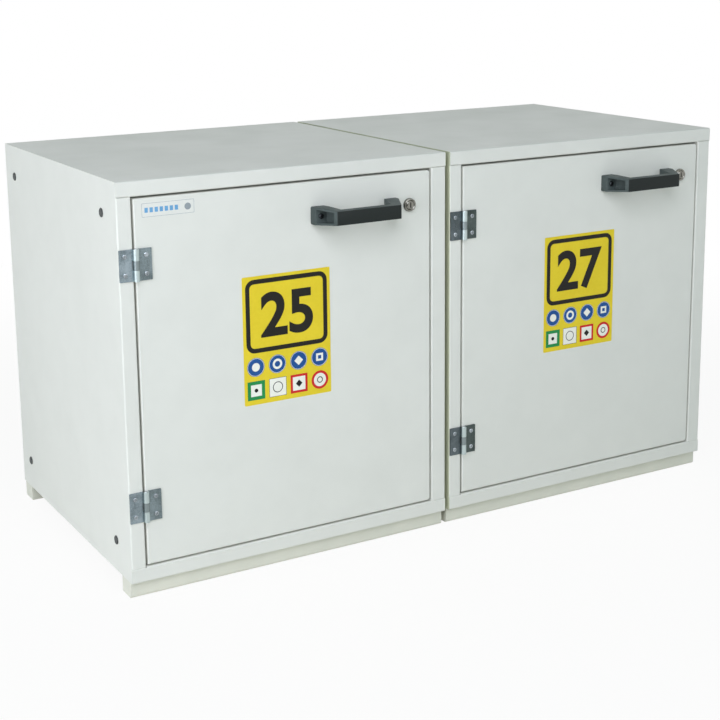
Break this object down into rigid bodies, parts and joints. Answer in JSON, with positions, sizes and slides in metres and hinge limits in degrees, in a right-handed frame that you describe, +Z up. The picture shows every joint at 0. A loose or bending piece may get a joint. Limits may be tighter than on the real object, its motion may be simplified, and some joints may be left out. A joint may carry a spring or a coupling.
{
  "type": "underbench safety cabinet",
  "caption": "Low pair of joined sheet-steel storage cabinets on plinth rails, each with a flush hinged door, bridge handle, cam lock, shelf tray and sump tray.",
  "frame": {"origin": "on the floor, at the centre of the footprint that the cases and the door handles cover", "axes": "+Z up, the doors face -Y, +X runs along the pair from the left cabinet to the right one"},
  "size_m": [1.1032, 0.558, 0.62],
  "materials": {
    "painted_case": "light grey epoxy powder coat, fine orange peel",
    "painted_door": "light grey epoxy powder coat, fine orange peel",
    "painted_plinth": "light grey powder coat",
    "hinge_zinc": "zinc plated, satin",
    "pin_steel": "bright steel",
    "screw_zinc": "zinc plated",
    "handle_plastic": "moulded black nylon, fine grain",
    "lock_nickel": "nickel plated, satin",
    "cam_steel": "zinc plated",
    "seal_rubber": "matt black",
    "label_film": "yellow film, satin",
    "shelf_paint": "light grey epoxy powder coat",
    "sump_plastic": "grey polypropylene, matt",
    "strip_zinc": "zinc plated",
    "plug_plastic": "black polyethylene",
    "spacer_steel": "zinc plated"
  },
  "bodies": {
    "cases": {"left_hinge_side_panel": "painted_case", "left_lock_side_panel": "painted_case", "left_top_panel": "painted_case", "left_bottom_panel": "painted_case", "left_back_panel": "painted_case", "left_front_rail": "painted_plinth", "left_rear_rail": "painted_plinth", "left_upper_hinge_frame_leaf": "hinge_zinc", "left_upper_hinge_pin": "pin_steel", "left_lower_hinge_frame_leaf": "hinge_zinc", "left_lower_hinge_pin": "pin_steel", "left_shelf_tray": "shelf_paint", "left_sump_tray": "sump_plastic", "right_hinge_side_panel": "painted_case", "right_lock_side_panel": "painted_case", "right_top_panel": "painted_case", "right_bottom_panel": "painted_case", "right_back_panel": "painted_case", "right_front_rail": "painted_plinth", "right_rear_rail": "painted_plinth", "right_upper_hinge_frame_leaf": "hinge_zinc", "right_upper_hinge_pin": "pin_steel", "right_lower_hinge_frame_leaf": "hinge_zinc", "right_lower_hinge_pin": "pin_steel", "right_shelf_tray": "shelf_paint", "right_sump_tray": "sump_plastic", "hinge_frame_screws": "screw_zinc", "shelf_strips": "strip_zinc", "shelf_clips": "strip_zinc", "side_plugs": "plug_plastic", "joining_spacers": "spacer_steel", "joining_bolts": "screw_zinc"},
    "left_door": {"left_door_skin": "painted_door", "left_door_inner_panel": "painted_door", "left_door_seal": "seal_rubber", "left_door_label": "label_film", "left_upper_hinge_door_leaf": "hinge_zinc", "left_lower_hinge_door_leaf": "hinge_zinc", "left_hinge_door_screws": "screw_zinc", "left_handle": "handle_plastic", "left_handle_screws": "screw_zinc", "left_lock_body": "lock_nickel", "left_lock_nut": "cam_steel"},
    "left_lock": {"left_lock_plug": "lock_nickel", "left_lock_cam": "cam_steel", "left_lock_cam_screw": "screw_zinc"},
    "right_door": {"right_door_skin": "painted_door", "right_door_inner_panel": "painted_door", "right_door_seal": "seal_rubber", "right_door_label": "label_film", "right_upper_hinge_door_leaf": "hinge_zinc", "right_lower_hinge_door_leaf": "hinge_zinc", "right_hinge_door_screws": "screw_zinc", "right_handle": "handle_plastic", "right_handle_screws": "screw_zinc", "right_lock_body": "lock_nickel", "right_lock_nut": "cam_steel"},
    "right_lock": {"right_lock_plug": "lock_nickel", "right_lock_cam": "cam_steel", "right_lock_cam_screw": "screw_zinc"}
  },
  "joints": [
    {"name": "left_door_hinge", "type": "hinge", "parent": "cases", "child": "left_door", "pos_m": [-0.525, -0.2355, 0.322], "axis": [0, 0, -1], "range_deg": [0, 180]},
    {"name": "left_lock_turn", "type": "hinge", "parent": "left_door", "child": "left_lock", "pos_m": [-0.072, -0.231, 0.5435], "axis": [0, -1, 0], "range_deg": [0, 90]},
    {"name": "right_door_hinge", "type": "hinge", "parent": "cases", "child": "right_door", "pos_m": [0.029, -0.2355, 0.322], "axis": [0, 0, -1], "range_deg": [0, 150]},
    {"name": "right_lock_turn", "type": "hinge", "parent": "right_door", "child": "right_lock", "pos_m": [0.482, -0.231, 0.5435], "axis": [0, -1, 0], "range_deg": [0, 90]}
  ]
}
